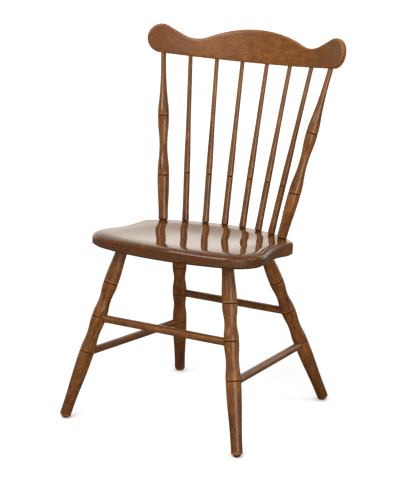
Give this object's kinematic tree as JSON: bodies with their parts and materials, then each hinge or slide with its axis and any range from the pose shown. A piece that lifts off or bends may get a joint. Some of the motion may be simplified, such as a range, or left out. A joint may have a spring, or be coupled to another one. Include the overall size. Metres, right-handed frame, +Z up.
{
  "type": "windsor chair",
  "caption": "Wooden windsor side chair with a saddled seat, bamboo-turned splayed legs joined by stretchers, and a spindle back under a bent crest rail.",
  "frame": {"origin": "on the floor, at the bottom centre of the bounding box", "axes": "+Z up, -Y towards the front of the chair, +X to the right as seen from the front"},
  "size_m": [0.5568, 0.504, 0.9206],
  "materials": {
    "stained_maple": "gloss walnut-brown stain and varnish, darker in the turned rings",
    "glide_steel": "dull, dark brownish steel, as it shows under the feet"
  },
  "bodies": {
    "root": {"seat": "stained_maple", "leg_front_left": "stained_maple", "leg_front_right": "stained_maple", "leg_rear_left": "stained_maple", "leg_rear_right": "stained_maple", "front_stretcher": "stained_maple", "rear_stretcher": "stained_maple", "left_stretcher": "stained_maple", "right_stretcher": "stained_maple", "post_left": "stained_maple", "post_right": "stained_maple", "spindle_1": "stained_maple", "spindle_2": "stained_maple", "spindle_3": "stained_maple", "spindle_4": "stained_maple", "spindle_5": "stained_maple", "spindle_6": "stained_maple", "crest_rail": "stained_maple", "crest_pin_left": "stained_maple", "crest_pin_right": "stained_maple", "glide_front_left": "glide_steel", "glide_front_right": "glide_steel", "glide_rear_left": "glide_steel", "glide_rear_right": "glide_steel"}
  },
  "joints": []
}
